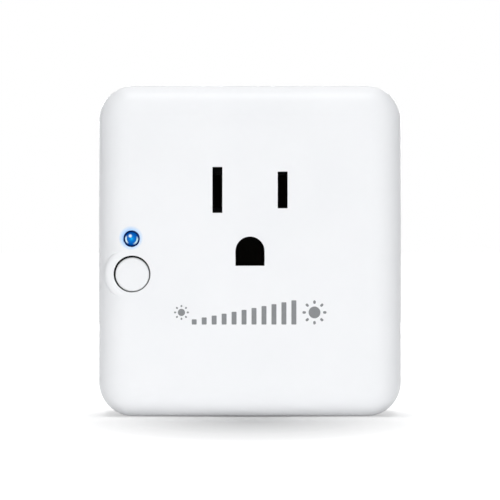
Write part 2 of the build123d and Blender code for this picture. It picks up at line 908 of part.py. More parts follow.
def header_places():
    """The heights of the header's pins."""
    first = header_z - header_pitch * (header_count - 1) / 2
    return [first + header_pitch * step for step in range(header_count)]


def header_body():
    """The plastic strip that stands the header's pins on the power board."""
    top = board_front + header_height
    strip = block(header_x, header_z, header_pitch, header_pitch * header_count, board_front, top)
    hole = header_pin + 2 * header_fit
    for z in header_places():
        strip -= block(header_x, z, hole, hole, board_front - overrun, top + overrun)
    return strip


def header_pins():
    """Four long square pins from the power board through the control board."""
    start, end = board_level - lead_tip, control_front + header_tip
    return group(block(header_x, z, header_pin, header_pin, start, end) for z in header_places())


def varistor_root():
    """The level at which the varistor's leads meet its rim."""
    across = varistor_lead_spacing / 2 - lead_radius
    return varistor_level - (varistor_radius**2 - across**2) ** 0.5


def lead_places():
    """The x, z and top level of each wire lead that runs through the power board."""
    places = []
    for side in (-1, 1):
        places.append((fuse_x + side * (fuse_length - fuse_cap_length) / 2, fuse_z, board_front))
        places.append((varistor_x + side * varistor_lead_spacing / 2, varistor_z, varistor_root()))
        places.append((film_x, film_z + side * film_lead_spacing / 2, board_front))
        places.append((can_x + side * can_lead_spacing / 2, can_z, board_front))
        places.append((choke_x, choke_z + side * (choke_radius + choke_bore) / 2, board_front))
    pin = transformer_pin_spacing / 2
    coil_bottom = board_front + transformer_leg + transformer_fit
    places += [(transformer_x + x, transformer_z + z, coil_bottom) for x, z in corners(pin, pin)]
    bridge_pins = corners(bridge_pin_spacing_x / 2, bridge_pin_spacing_z / 2)
    places += [(bridge_x + x, bridge_z + z, board_front) for x, z in bridge_pins]
    return places


def component_leads():
    """The wire leads of the power board's parts, each soldered in its hole."""
    return group(wire(x, z, lead_radius, board_level - lead_tip, end) for x, z, end in lead_places())


def power_board():
    """The main board, notched round the case posts and pierced for every tail and lead."""
    board = block(0, 0, 2 * board_half_width, 2 * board_half_height, board_level, board_front)
    low, high = board_level - overrun, board_front + overrun
    notch_x = case_post_x - case_tube_radius - board_notch_gap
    notch_z = case_post_z - case_tube_radius - board_notch_gap
    for x, z in corners(notch_x + half_width / 2, notch_z + half_height / 2):
        board -= block(x, z, half_width, half_height, low, high)
    for x, z in corners(board_screw_x, board_screw_z):
        board -= rod(x, z, small_screw_radius + screw_clearance, low, high)
    clear = 2 * tail_clearance
    slot = tail_thickness + clear
    for side in (-1, 1):
        x = side * half_blade_spacing
        board -= block(x, blade_tail_z, slot, blade_tail_width + clear, low, high)
        board -= block(x, contact_tail_z, slot, contact_tail_width + clear, low, high)
    board -= block(0, ground_contact_tail_z, slot, ground_contact_tail_width + clear, low, high)
    board -= rod(0, 0, ground_tail_radius + tail_clearance, low, high)
    for x, z, end in lead_places():
        board -= wire(x, z, lead_radius + lead_clearance, low, high)
    hole = header_pin + 2 * lead_clearance
    for z in header_places():
        board -= block(header_x, z, hole, hole, low, high)
    for side in (-1, 0, 1):
        x = heatsink_x + side * triac_lead_pitch
        board -= block(x, triac_body_z, triac_lead_width + clear, triac_lead_thickness + clear, low, high)
    return board


def board_screws():
    """Four screws that hold the power board to the rear cover."""
    return group(small_screw(x, z, board_front, 1) for x, z in corners(board_screw_x, board_screw_z))


def fuse_body():
    """The fuse's ceramic tube."""
    return tube_along_x(fuse_x, fuse_z, fuse_level, fuse_radius, fuse_length)


def fuse_caps():
    """The two metal caps on the ends of the fuse."""
    caps = []
    outer = fuse_radius + fuse_cap_wall
    for side in (-1, 1):
        x = fuse_x + side * (fuse_length / 2 - fuse_cap_length / 2 + fuse_cap_wall)
        cap = tube_along_x(x, fuse_z, fuse_level, outer, fuse_cap_length)
        bore = tube_along_x(fuse_x, fuse_z, fuse_level, fuse_radius + fuse_fit, fuse_length)
        caps.append(cap - bore)
    return group(caps)


def varistor():
    """The round coated disc across the supply."""
    section = Plane(origin=(varistor_x, -varistor_level, varistor_z), z_dir=(0, 0, 1))
    disc = extrude(section * Circle(varistor_radius), amount=varistor_thickness / 2, both=True)
    return chamfer(disc.edges().filter_by(GeomType.CIRCLE), varistor_edge_chamfer)


def film_capacitor():
    """The moulded box of the interference capacitor."""
    box = block(film_x, film_z, film_width, film_length, board_front, board_front + film_height)
    return chamfer(box.faces().sort_by(Axis.Y)[0].edges(), film_edge_chamfer)


def electrolytic_capacitor():
    """The round can that smooths the supply, with the rolled groove near its foot."""
    can = rod(can_x, can_z, can_radius, board_front, board_front + can_height)
    can = chamfer(can.edges().filter_by(GeomType.CIRCLE).sort_by(Axis.Y)[0], can_edge_chamfer)
    low = board_front + can_groove_height
    high = low + can_groove_width
    groove = rod(can_x, can_z, can_radius + overrun, low, high)
    return can - (groove - rod(can_x, can_z, can_radius - can_groove_depth, low, high))


def choke_core():
    """The powder ring at the heart of the choke."""
    low = board_front + choke_wire + choke_fit
    ring = rod(choke_x, choke_z, choke_radius, low, low + choke_height)
    return ring - rod(choke_x, choke_z, choke_bore, low - overrun, low + choke_height + overrun)


def choke_winding():
    """The wire wound round the ring, drawn as one layer, with a gap where it starts and ends."""
    core_low = board_front + choke_wire + choke_fit
    core_high = core_low + choke_height
    low = board_front
    high = core_high + choke_fit + choke_wire
    outer = choke_radius + choke_fit + choke_wire
    bore = choke_bore - choke_fit - choke_wire
    layer = rod(choke_x, choke_z, outer, low, high)
    layer -= rod(choke_x, choke_z, bore, low - overrun, high + overrun)
    hollow = rod(choke_x, choke_z, choke_radius + choke_fit, core_low - choke_fit, core_high + choke_fit)
    hollow -= rod(choke_x, choke_z, choke_bore - choke_fit, low - overrun, high + overrun)
    gap_x = choke_x + outer / 2
    return layer - hollow - block(gap_x, choke_z, outer, choke_gap_width, low - overrun, high + overrun)


def transformer_core():
    """The three-legged ferrite core of the supply transformer."""
    top = board_front + transformer_core_height
    depth = transformer_core_depth
    core = block(transformer_x, transformer_z, transformer_width, depth, board_front, top)
    window = transformer_width - 2 * transformer_leg
    middle = (board_front + top) / 2
    half_leg = transformer_centre_leg / 2
    cut = depth + overrun
    lower = board_front + transformer_leg
    upper = top - transformer_leg
    core -= block(transformer_x, transformer_z, window, cut, lower, middle - half_leg)
    return core - block(transformer_x, transformer_z, window, cut, middle + half_leg, upper)


def transformer_coil():
    """The taped coil round the core's middle leg."""
    top = board_front + transformer_core_height
    middle = (board_front + top) / 2
    fit = transformer_fit
    width = transformer_width - 2 * (transformer_leg + fit)
    low = board_front + transformer_leg + fit
    high = top - transformer_leg - fit
    coil = block(transformer_x, transformer_z, width, transformer_coil_depth, low, high)
    leg = transformer_centre_leg + 2 * fit
    depth = transformer_core_depth + 2 * fit
    start, end = middle - leg / 2, middle + leg / 2
    return coil - block(transformer_x, transformer_z, width + overrun, depth, start, end)


def bridge_rectifier():
    """The flat rectifier block, one corner cut to mark its first pin."""
    top = board_front + bridge_height
    body = block(bridge_x, bridge_z, bridge_width, bridge_depth, board_front, top)
    upright = body.edges().filter_by(Axis.Y)
    return chamfer(upright.sort_by(Axis.X)[0], bridge_chamfer)


def triac_body():
    """The moulded body of the triac, standing on its leads."""
    top = triac_level + triac_body_height
    body = block(heatsink_x, triac_body_z, triac_width, triac_body_depth, triac_level, top)
    front = body.faces().sort_by(Axis.Z)[0]
    return chamfer(front.edges().filter_by(Axis.X), triac_body_chamfer)


def triac_tab():
    """The triac's metal frame: the tab against the heatsink, and three leads into the board."""
    z = heatsink_z - triac_tab_thickness / 2
    top = triac_level + triac_tab_height
    tab = block(heatsink_x, z, triac_width, triac_tab_thickness, triac_level, top)
    tab -= along_z(heatsink_x, triac_hole_level, triac_tab_hole_radius, z - overrun, z + overrun)
    leads = [
        block(
            heatsink_x + side * triac_lead_pitch,
            triac_body_z,
            triac_lead_width,
            triac_lead_thickness,
            board_level - lead_tip,
            triac_level,
        )
        for side in (-1, 0, 1)
    ]
    return group([tab, *leads])


def heatsink():
    """A finned aluminium bar that stands on the power board behind the triac."""
    top = board_front + heatsink_height
    base_z = heatsink_z + heatsink_base / 2
    sink = block(heatsink_x, base_z, heatsink_width, heatsink_base, board_front, top)
    fin_z = heatsink_z + heatsink_base + heatsink_fin_reach / 2
    step = (heatsink_width - heatsink_fin) / (heatsink_fins - 1)
    for number in range(heatsink_fins):
        x = heatsink_x - (heatsink_width - heatsink_fin) / 2 + step * number
        sink += block(x, fin_z, heatsink_fin, heatsink_fin_reach, board_front, top)
    hole = triac_screw_radius + screw_clearance
    low, high = heatsink_z - overrun, heatsink_z + heatsink_base
    return sink - along_z(heatsink_x, triac_hole_level, hole, low, high)


def triac_screw():
    """The screw that clamps the triac's tab to the heatsink."""
    seat = heatsink_z - triac_tab_thickness
    end = heatsink_z + heatsink_base - screw_clearance
    top = seat - triac_screw_head_height
    head = along_z(heatsink_x, triac_hole_level, triac_screw_head_radius, top, seat)
    rim = head.edges().filter_by(GeomType.CIRCLE).sort_by(Axis.Z)[0]
    head = chamfer(rim, triac_screw_head_height * head_chamfer_share)
    return head + along_z(heatsink_x, triac_hole_level, triac_screw_radius, seat, end)


pieces = {
    "front_cover": front_cover(),
    "rear_cover": rear_cover(),
    "case_screws": case_screws(),
    "neutral_blade": plug_blade(-1),
    "line_blade": plug_blade(1),
    "ground_pin": ground_pin(),
    "blade_retainer": blade_retainer(),
    "retainer_screws": retainer_screws(),
    "contact_carrier": contact_carrier(),
    "carrier_screws": carrier_screws(),
    "carrier_back": carrier_back(),
    "carrier_back_screws": carrier_back_screws(),
    "neutral_contact": blade_contact(-1, neutral_slot_height),
    "line_contact": blade_contact(1, line_slot_height),
    "ground_contact": ground_contact(),
    "button_cap": button_cap(),
    "status_led": status_led(),
    "led_leads": led_leads(),
    "led_spacer": led_spacer(),
    "control_board": control_board(),
    "control_board_screws": control_board_screws(),
    "switch_body": switch_body(),
    "switch_plunger": switch_plunger(),
    "radio_shield": radio_shield(),
    "radio_chip": radio_chip(),
    "controller_chip": controller_chip(),
    "header_body": header_body(),
    "header_pins": header_pins(),
    "power_board": power_board(),
    "board_screws": board_screws(),
    "component_leads": component_leads(),
    "fuse_body": fuse_body(),
    "fuse_caps": fuse_caps(),
    "varistor": varistor(),
    "film_capacitor": film_capacitor(),
    "electrolytic_capacitor": electrolytic_capacitor(),
    "choke_core": choke_core(),
    "choke_winding": choke_winding(),
    "transformer_core": transformer_core(),
    "transformer_coil": transformer_coil(),
    "bridge_rectifier": bridge_rectifier(),
    "triac_body": triac_body(),
    "triac_tab": triac_tab(),
    "triac_screw": triac_screw(),
    "heatsink": heatsink(),
}

os.makedirs("parts", exist_ok=True)
for name, piece in pieces.items():
    export_step(piece, f"parts/{name}.step")
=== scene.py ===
"""A plug-in lamp dimmer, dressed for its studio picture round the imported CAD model.

Lengths are in metres. X runs to the right of the face, Z runs up, the face looks along -Y
and the back lies at Y = 0 with the plug's blades behind it.
"""

import bpy
import numpy as np
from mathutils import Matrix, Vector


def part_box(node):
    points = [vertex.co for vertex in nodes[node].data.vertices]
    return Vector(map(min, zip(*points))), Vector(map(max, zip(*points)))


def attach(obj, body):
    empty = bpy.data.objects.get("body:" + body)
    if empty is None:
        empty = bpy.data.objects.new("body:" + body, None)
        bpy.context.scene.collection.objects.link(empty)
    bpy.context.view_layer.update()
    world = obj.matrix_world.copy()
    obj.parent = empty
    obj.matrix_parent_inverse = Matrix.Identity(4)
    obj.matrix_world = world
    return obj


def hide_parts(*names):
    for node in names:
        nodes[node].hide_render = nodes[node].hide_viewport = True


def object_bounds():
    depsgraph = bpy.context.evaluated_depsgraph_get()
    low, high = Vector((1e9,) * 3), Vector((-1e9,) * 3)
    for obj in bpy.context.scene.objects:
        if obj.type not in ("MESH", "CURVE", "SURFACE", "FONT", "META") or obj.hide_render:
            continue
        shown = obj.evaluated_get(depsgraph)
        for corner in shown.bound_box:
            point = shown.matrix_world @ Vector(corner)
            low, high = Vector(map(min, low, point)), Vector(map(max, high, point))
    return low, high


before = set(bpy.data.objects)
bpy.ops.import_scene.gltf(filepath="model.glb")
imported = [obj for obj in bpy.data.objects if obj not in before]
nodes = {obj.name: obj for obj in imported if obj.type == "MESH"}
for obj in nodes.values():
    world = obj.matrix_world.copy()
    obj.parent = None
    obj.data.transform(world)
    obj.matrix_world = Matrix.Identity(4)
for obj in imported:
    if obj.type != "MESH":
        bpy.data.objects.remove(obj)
cad_low, cad_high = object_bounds()

# Front cover
# One injection moulding in white ABS, satin from a finely blasted mould. The wall round the blue
# light has a painted blue glow, and the bore that the button slides in has painted shade.
white = (0.862, 0.868, 0.880)
cool_white = (0.838, 0.846, 0.860)
gloss_drift = 0.04


def finish(name, roughness, metallic=0.0, ior=1.5, coat=0.0, specular=0.5):
    """A material with one Principled shader, its fixed numbers set on the shader's own sockets."""
    material = bpy.data.materials.new(name)
    material.use_nodes = True
    shader = material.node_tree.nodes["Principled BSDF"]
    shader.inputs["Roughness"].default_value = roughness
    shader.inputs["Metallic"].default_value = metallic
    shader.inputs["IOR"].default_value = ior
    shader.inputs["Coat Weight"].default_value = coat
    shader.inputs["Specular IOR Level"].default_value = specular
    return material


def feed(material, source, socket):
    """Links a value or colour to one of the shader's sockets."""
    shader = material.node_tree.nodes["Principled BSDF"]
    material.node_tree.links.new(source, shader.inputs[socket])


def own_place(material, centre=(0, 0, 0), stretch=(1, 1, 1), turn=(0, 0, 0)):
    """The point's place in the piece's Object coordinates, less centre, then stretched and turned."""
    tree = material.node_tree
    coordinates = tree.nodes.new("ShaderNodeTexCoord")
    shift = tree.nodes.new("ShaderNodeVectorMath")
    shift.operation = "SUBTRACT"
    shift.inputs[1].default_value = centre
    mapping = tree.nodes.new("ShaderNodeMapping")
    mapping.inputs["Scale"].default_value = stretch
    mapping.inputs["Rotation"].default_value = turn
    tree.links.new(coordinates.outputs["Object"], shift.inputs[0])
    tree.links.new(shift.outputs[0], mapping.inputs["Vector"])
    return mapping.outputs["Vector"]


def distance(material, place, stretch=(1, 0, 1)):
    """How far a point is from place, with each axis stretched. Unless told otherwise Y counts for
    nothing, so that it is the distance from the line along Y through place."""
    tree = material.node_tree
    length = tree.nodes.new("ShaderNodeVectorMath")
    length.operation = "LENGTH"
    tree.links.new(own_place(material, centre=place, stretch=stretch), length.inputs[0])
    return length.outputs["Value"]


def mottle(material, scale, detail=3.0, stretch=(1, 1, 1)):
    """Noise from about 0.3 to 0.7 over the piece, scale in features to the metre."""
    tree = material.node_tree
    noise = tree.nodes.new("ShaderNodeTexNoise")
    noise.inputs["Scale"].default_value = scale
    noise.inputs["Detail"].default_value = detail
    tree.links.new(own_place(material, stretch=stretch), noise.inputs["Vector"])
    return noise.outputs["Fac"]


def between(material, value, low, high, start=0.3, end=0.7):
    """Carries a value's range from start to end over to the range from low to high, cut off there."""
    tree = material.node_tree
    carried = tree.nodes.new("ShaderNodeMapRange")
    carried.inputs["From Min"].default_value = start
    carried.inputs["From Max"].default_value = end
    carried.inputs["To Min"].default_value = low
    carried.inputs["To Max"].default_value = high
    tree.links.new(value, carried.inputs["Value"])
    return carried.outputs["Result"]


def blended(material, share, first, second):
    """A colour from first to second by a share from 0 to 1; each is a colour or a socket."""
    tree = material.node_tree
    mix = tree.nodes.new("ShaderNodeMix")
    mix.data_type = "RGBA"
    tree.links.new(share, mix.inputs["Factor"])
    for socket, colour in ((mix.inputs[6], first), (mix.inputs[7], second)):
        if isinstance(colour, tuple):
            socket.default_value = (*colour, 1.0)
        else:
            tree.links.new(colour, socket)
    return mix.outputs[2]


def clouded(material, first, second, scale, stretch=(1, 1, 1)):
    """A colour that drifts between first and second over the piece, in clouds of this scale."""
    cloud = between(material, mottle(material, scale, stretch=stretch), low=0, high=1)
    return blended(material, cloud, first, second)


def relief(material, height, depth):
    """Raises the surface by a height from 0 to 1 times depth, in metres, or sinks it where depth
    is below 0."""
    tree = material.node_tree
    bump = tree.nodes.new("ShaderNodeBump")
    bump.inputs["Distance"].default_value = depth
    tree.links.new(height, bump.inputs["Height"])
    feed(material, bump.outputs["Normal"], "Normal")


def dress(material, *names):
    """Gives CAD nodes this material in all their material slots."""
    for name in names:
        for slot in nodes[name].material_slots:
            slot.material = material


def middle_axis(node):
    """The middle of a node's box in X and Z, as a place at Y = 0."""
    low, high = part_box(node)
    return ((low.x + high.x) / 2, 0.0, (low.z + high.z) / 2)


def beside(place, x, z):
    """The place that lies x to the right of a place and z above it."""
    return (place[0] + x, place[1], place[2] + z)


def white_plastic(name, roughness):
    """White ABS and its colour: a faint cloud in colour and gloss, and a blasted mould's tooth."""
    material = finish(name, roughness, specular=0.3)
    gloss_cloud = mottle(material, scale=240)
    gloss = between(material, gloss_cloud, roughness - gloss_drift, roughness + gloss_drift)
    feed(material, gloss, "Roughness")
    relief(material, mottle(material, scale=4200, detail=1.0), depth=1.2e-6)
    return material, clouded(material, white, cool_white, scale=55)


shell_plastic, shell_colour = white_plastic("white_shell_plastic", roughness=0.36)
led_place = middle_axis("status_led")
# The status light's blue glow on the white wall round it is painted into the wall's colour.
glow_place = beside(led_place, x=-0.00014, z=0.00012)
glow_start, glow_end = 0.0015, 0.0024
glow_share, painted_glow_tint = 0.78, (0.24, 0.55, 1.0)
glow_distance = distance(shell_plastic, glow_place)
glow = between(shell_plastic, glow_distance, glow_share, 0, glow_start, glow_end)
colour_with_painted_glow = blended(shell_plastic, glow, shell_colour, painted_glow_tint)
button_bore, button_bore_radius = (-0.02295, 0.0, -0.00447), 0.00356
bore_edge_start, bore_edge_end = button_bore_radius + 0.00001, button_bore_radius + 0.00004
# Painted shade in the button's gap: black under its upper left edge, a painted lighter grey lower
# down.
painted_gap_shadow, painted_gap_light = (0.002, 0.002, 0.002), (0.34, 0.34, 0.35)
gap_shade_place = beside(button_bore, x=-0.0022, z=0.0028)
gap_shade_start, gap_shade_end = 0.0042, 0.0071


def painted_gap_shade(material):
    """Painted shade and light for the gap: black where it lies under the upper left of its edge, grey
    where light falls into it.
    """
    shade_distance = distance(material, gap_shade_place)
    lit_share = between(material, shade_distance, 0, 1, gap_shade_start, gap_shade_end)
    return blended(material, lit_share, painted_gap_shadow, painted_gap_light)


# The bore's wall takes the painted gap shade.
bore_distance = distance(shell_plastic, button_bore)
bore_wall = between(shell_plastic, bore_distance, 1, 0, bore_edge_start, bore_edge_end)
cover_colour = blended(shell_plastic, bore_wall, colour_with_painted_glow, painted_gap_shade(shell_plastic))
feed(shell_plastic, cover_colour, "Base Color")
dress(shell_plastic, "front_cover")

# Rear cover
# A shallow tray, moulded in the same white ABS. Its lip fits inside the front cover, so the two
# meet in a fine groove, and four screws from behind draw them together.
rear_plastic, rear_colour = white_plastic("white_rear_plastic", roughness=0.36)
feed(rear_plastic, rear_colour, "Base Color")
dress(rear_plastic, "rear_cover")

# Brightness mark
# A generic sign in grey pad-printing ink on the face below the receptacle: a row of bars that
# rise from a small sun to a large one. The ink stands a hundredth of a millimetre proud.
mark_left, mark_right = -0.0148, 0.0149
mark_bottom, mark_top = -0.0143, -0.0096
ink_grey, ink_pale_grey = (0.216, 0.223, 0.230), (0.235, 0.242, 0.250)
ink_thickness, ink_depth_in_cover = 0.000012, 0.0001
large_core, large_ray = 0.00115, 0.00050
small_core, small_ray = 0.00070, 0.00034
small_sun_share, ray_clearance, ray_rounding = 0.62, 0.42, 0.49
bar_width, bar_step, bar_count = 0.00096, 0.00194, 11
bar_rounding, first_bar_from_sun = 0.00012, 0.001025
shortest_bar, tallest_bar = 0.0010, mark_top - mark_bottom


def rounded_bar(centre, half_width, half_height, corner, angle=0.0, steps=6):
    """The outline of a bar with rounded ends: four quarter circles of radius corner, set in the
    corners of the rectangle and joined by straight sides, then turned by angle about the origin."""
    quarter = np.linspace(0, np.pi / 2, steps)
    turn = (quarter[None, :] + np.arange(4)[:, None] * np.pi / 2).ravel()
    side = np.repeat(np.array([[1, 1], [-1, 1], [-1, -1], [1, -1]]), steps, axis=0)
    inset = np.array([half_width - corner, half_height - corner])
    outline = side * inset + corner * np.stack([np.cos(turn), np.sin(turn)], 1) + np.array(centre)
    cosine, sine = np.cos(angle), np.sin(angle)
    return outline @ np.array([[cosine, sine], [-sine, cosine]])


def disc(radius, steps=40):
    """A circle's outline: x = radius cos t, z = radius sin t."""
    turn = np.arange(steps) * 2 * np.pi / steps
    return radius * np.stack([np.cos(turn), np.sin(turn)], 1)


def sun(centre, core, reach, ray, count=8):
    """A disc with rays round it: each ray is the same bar, turned by a further share of a circle.
    It starts clear of the disc, by a share of the way out, and ends at the sun's reach."""
    start = core + ray_clearance * (reach - core)
    half_length = (reach - start) / 2
    rays = [
        rounded_bar((start + half_length, 0), half_length, ray / 2, ray_rounding * ray, angle)
        for angle in np.arange(count) * 2 * np.pi / count
    ]
    return [outline + np.array(centre) for outline in [disc(core), *rays]]


def closed_piece(name, points, faces):
    """A new piece from a closed surface's points and faces."""
    mesh = bpy.data.meshes.new(name)
    mesh.from_pydata(points.tolist(), [], faces)
    piece = bpy.data.objects.new(name, mesh)
    bpy.context.scene.collection.objects.link(piece)
    return piece


def film(name, outlines, back, front):
    """A flat film: each outline in X and Z as a polygon at the front level and at the back level,
    with a ring of sides between the two."""
    points, faces, start = [], [], 0
    for outline in outlines:
        count = len(outline)
        for level in (front, back):
            points.append(np.stack([outline[:, 0], np.full(count, level), outline[:, 1]], 1))
        ring = np.arange(count)
        following = (ring + 1) % count
        faces.append((start + ring).tolist())
        faces.append((start + count + ring[::-1]).tolist())
        sides = np.stack([ring + count, following + count, following, ring], 1) + start
        faces.extend(sides.tolist())
        start += 2 * count
    return closed_piece(name, np.concatenate(points), faces)


mark_middle = (mark_bottom + mark_top) / 2
large_reach = (mark_top - mark_bottom) / 2
small_reach = small_sun_share * large_reach
outlines = sun((mark_right - large_reach, mark_middle), large_core, large_reach, large_ray)
outlines += sun((mark_left + small_reach, mark_middle), small_core, small_reach, small_ray)
first_bar = mark_left + 2 * small_reach + first_bar_from_sun
for number in range(bar_count):
    bar_height = shortest_bar + (tallest_bar - shortest_bar) * number / (bar_count - 1)
    bar_x = first_bar + number * bar_step
    bar_middle = (bar_x, mark_bottom + bar_height / 2)
    outlines.append(rounded_bar(bar_middle, bar_width / 2, bar_height / 2, bar_rounding))
ink_back, ink_front = cad_low.y + ink_depth_in_cover, cad_low.y - ink_thickness
brightness_mark = film("brightness_mark", outlines, ink_back, ink_front)
ink = finish("grey_printing_ink", roughness=0.5)
feed(ink, clouded(ink, ink_grey, ink_pale_grey, scale=1500), "Base Color")
relief(ink, mottle(ink, scale=6000, detail=1.0), depth=1.5e-6)
brightness_mark.data.materials.append(ink)
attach(brightness_mark, "housing")

# Button
# A hollow cap in the same white plastic, polished a little by fingers. It stands two tenths of a
# millimetre below the land round it, and hangs a little low and to the right in its bore.
button_place, cap_radius = beside(button_bore, x=0.00004, z=-0.00008), 0.00334
cap_edge_start, cap_edge_end = cap_radius - 0.00006, cap_radius - 0.00002
cap_plastic, cap_colour = white_plastic("white_button_plastic", roughness=0.32)
cap_distance = distance(cap_plastic, button_place)
# The cap's side wall below its edge takes the same painted gap shade: black at the upper left, grey
# lower down.
cap_wall = between(cap_plastic, cap_distance, 0, 1, cap_edge_start, cap_edge_end)
feed(cap_plastic, blended(cap_plastic, cap_wall, cap_colour, painted_gap_shade(cap_plastic)), "Base Color")
dress(cap_plastic, "button_cap")

# Status light
# A clear blue 3 mm light in epoxy, lit: its chip makes a cyan heart in a saturated blue dome. Two
# painted reflections lie as crescents inside the dome, with a painted highlight near its top, and the
# rim has painted navy shade.
epoxy = finish("blue_light_epoxy", roughness=0.08, ior=1.54, specular=0.05)
light_radius, light_strength = 0.0016, 0.9
from_heart = between(epoxy, distance(epoxy, led_place), 0, 1, start=0, end=light_radius)
glow_ramp = epoxy.node_tree.nodes.new("ShaderNodeValToRGB")
glow_ramp.color_ramp.interpolation = "B_SPLINE"
# The emission runs from the chip's cyan heart through the blue dome to a painted navy shade at the
# rim.
glow_stops = [
    (0.0, (0.010, 0.62, 1.0)),
    (0.16, (0.000, 0.25, 0.72)),
    (0.40, (0.000, 0.15, 0.56)),
    (0.72, (0.000, 0.09, 0.42)),
    (0.85, (0.000, 0.003, 0.060)),
    (1.00, (0.000, 0.002, 0.030)),
]
while len(glow_ramp.color_ramp.elements) < len(glow_stops):
    glow_ramp.color_ramp.elements.new(0.5)
for element, (stop, colour) in zip(glow_ramp.color_ramp.elements, glow_stops):
    element.position = stop
    element.color = (*colour, 1.0)
epoxy.node_tree.links.new(from_heart, glow_ramp.inputs["Fac"])


def combined(material, operation, first, second):
    """One value made of two by an operation such as MULTIPLY."""
    result = material.node_tree.nodes.new("ShaderNodeMath")
    result.operation = operation
    material.node_tree.links.new(first, result.inputs[0])
    material.node_tree.links.new(second, result.inputs[1])
    return result.outputs[0]


def painted_highlight_spot(x, z, strength, start, end):
    """A spot of painted highlight beside the light's axis: full strength up to start, and none beyond
    end.
    """
    spot_distance = distance(epoxy, beside(led_place, x, z))
    return between(epoxy, spot_distance, strength, 0, start, end)


# Painted reflections in the emission: two crescents on a ring inside the dome and a highlight near
# its top.
crescent_ring_inside = between(epoxy, from_heart, 0, 1, start=0.56, end=0.64)
crescent_ring_outside = between(epoxy, from_heart, 1, 0, start=0.74, end=0.82)
painted_crescent_ring = combined(epoxy, "MULTIPLY", crescent_ring_inside, crescent_ring_outside)
painted_left_crescent = painted_highlight_spot(x=-0.00114, z=-0.00022, strength=1.0, start=0.0004, end=0.0009)
painted_right_crescent = painted_highlight_spot(x=0.00104, z=-0.00048, strength=0.9, start=0.0004, end=0.0010)
painted_top_highlight = painted_highlight_spot(x=-0.00026, z=0.00054, strength=1.0, start=0.00018, end=0.00040)
lens_colour = glow_ramp.outputs["Color"]
for painted_gleam, painted_gleam_colour in (
    (combined(epoxy, "MULTIPLY", painted_crescent_ring, painted_left_crescent), (0.78, 1.0, 1.0)),
    (combined(epoxy, "MULTIPLY", painted_crescent_ring, painted_right_crescent), (0.72, 1.0, 1.0)),
    (painted_top_highlight, (0.85, 1.0, 1.0)),
):
    lens_colour = blended(epoxy, painted_gleam, lens_colour, painted_gleam_colour)
lens_blue, painted_rim_shade = (0.001, 0.02, 0.10), (0.0005, 0.002, 0.02)
feed(epoxy, lens_colour, "Emission Color")
# The base colour darkens to a painted navy shade at the rim.
feed(epoxy, blended(epoxy, from_heart, lens_blue, painted_rim_shade), "Base Color")
epoxy.node_tree.nodes["Principled BSDF"].inputs["Emission Strength"].default_value = light_strength
dress(epoxy, "status_led")

# Leads and the light's spacer
# Tinned copper wire, drawn along its length and soldered into the boards. The light's two leads
# run down through a round spacer of natural nylon, which holds the light off its board.
bright_tin, dull_tin = (0.66, 0.67, 0.68), (0.52, 0.53, 0.55)
tinned_wire = finish("tinned_copper_wire", roughness=0.28, metallic=1.0)
drawing_lines = mottle(tinned_wire, scale=900, stretch=(1, 0.15, 1))
tin_share = between(tinned_wire, drawing_lines, low=0, high=1)
feed(tinned_wire, blended(tinned_wire, tin_share, bright_tin, dull_tin), "Base Color")
feed(tinned_wire, between(tinned_wire, drawing_lines, low=0.2, high=0.38), "Roughness")
dress(tinned_wire, "led_leads", "component_leads")
pale_nylon, deep_nylon = (0.80, 0.78, 0.70), (0.72, 0.70, 0.62)
nylon = finish("natural_nylon", roughness=0.45)
feed(nylon, clouded(nylon, pale_nylon, deep_nylon, scale=400), "Base Color")
relief(nylon, mottle(nylon, scale=3500), depth=2e-6)
dress(nylon, "led_spacer")

# Screws
# Zinc-plated steel with a bluish passivation. Each has a pressed pan head with a cross recess and a
# coarse thread that cuts its own way into the plastic; four long ones sink into the back.
pale_zinc, deep_zinc = (0.60, 0.62, 0.66), (0.47, 0.49, 0.54)
zinc = finish("zinc_plated_steel", roughness=0.32, metallic=1.0)
feed(zinc, clouded(zinc, pale_zinc, deep_zinc, scale=700), "Base Color")
feed(zinc, between(zinc, mottle(zinc, scale=2400), low=0.24, high=0.42), "Roughness")
relief(zinc, mottle(zinc, scale=5200), depth=1.5e-6)
dress(zinc, "triac_screw")

# Shares of the head's radius, but of its height for the dome's fall and the cross's depth
dome_reach, dome_fall = 0.86, 0.3
cross_half_width, cross_half_length, cross_edge, cross_depth = 0.13, 0.6, 0.05, 0.55

# Shares of the shank's radius
thread_depth, point_length, point_width = 0.16, 1.5, 0.5

# Rows of points over the dome, over its rounded rim and over one turn of the thread
dome_rows, rim_rows, rows_to_a_turn = 16, 4, 8


def smooth_step(value):
    """0 below 0, 1 above 1, and 3 v^2 - 2 v^3 between them."""
    v = np.clip(value, 0, 1)
    return v * v * (3 - 2 * v)


